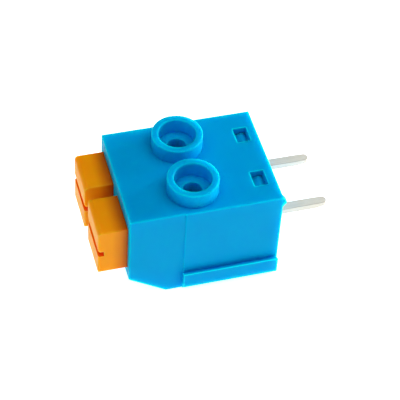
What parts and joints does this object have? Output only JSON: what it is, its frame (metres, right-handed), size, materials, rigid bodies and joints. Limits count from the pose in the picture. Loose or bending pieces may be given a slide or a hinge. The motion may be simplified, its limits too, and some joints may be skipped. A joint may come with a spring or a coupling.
{
  "type": "spring terminal block",
  "caption": "Board-mount spring terminal block: wires enter through collars, push buttons open the clamps, solder pins carry the current to the board.",
  "frame": {"origin": "middle of the housing's back face, halfway between the two poles", "axes": "+Z out of the wire entries, +X towards the solder pins, -X towards the push buttons, Y across the poles with the side rail on -Y"},
  "size_m": [0.0197, 0.0106, 0.0104],
  "materials": {
    "housing_plastic": "satin",
    "button_plastic": "satin",
    "tinned_contact": "satin tin plating",
    "spring_steel": "rolled"
  },
  "bodies": {
    "root": {"housing": "housing_plastic", "base_cover": "housing_plastic", "contact_1": "tinned_contact", "contact_2": "tinned_contact", "spring_1": "spring_steel", "spring_2": "spring_steel"},
    "button_1": {"button_1": "button_plastic"},
    "button_2": {"button_2": "button_plastic"},
    "clamp_leg_1": {"clamp_leg_1": "spring_steel"},
    "clamp_leg_2": {"clamp_leg_2": "spring_steel"}
  },
  "joints": [
    {"name": "button_1_press", "type": "slide", "parent": "root", "child": "button_1", "axis": [1, 0, 0], "range_m": [0, 0.0017], "stiffness_N_per_m": 1000, "springref_m": -0.0005},
    {"name": "button_2_press", "type": "slide", "parent": "root", "child": "button_2", "axis": [1, 0, 0], "range_m": [0, 0.0017], "stiffness_N_per_m": 1000, "springref_m": -0.0005},
    {"name": "clamp_leg_1_bend", "type": "hinge", "parent": "root", "child": "clamp_leg_1", "pos_m": [0.00302, -0.0025, 0.0073], "axis": [0, -1, 0], "range_deg": [0, 28.1]},
    {"name": "clamp_leg_2_bend", "type": "hinge", "parent": "root", "child": "clamp_leg_2", "pos_m": [0.00302, 0.0025, 0.0073], "axis": [0, -1, 0], "range_deg": [0, 28.1]}
  ],
  "couplings": [
    {"joint": "clamp_leg_1_bend", "follows": "button_1_press", "rad_per_m": 287.5},
    {"joint": "clamp_leg_2_bend", "follows": "button_2_press", "rad_per_m": 287.5}
  ]
}
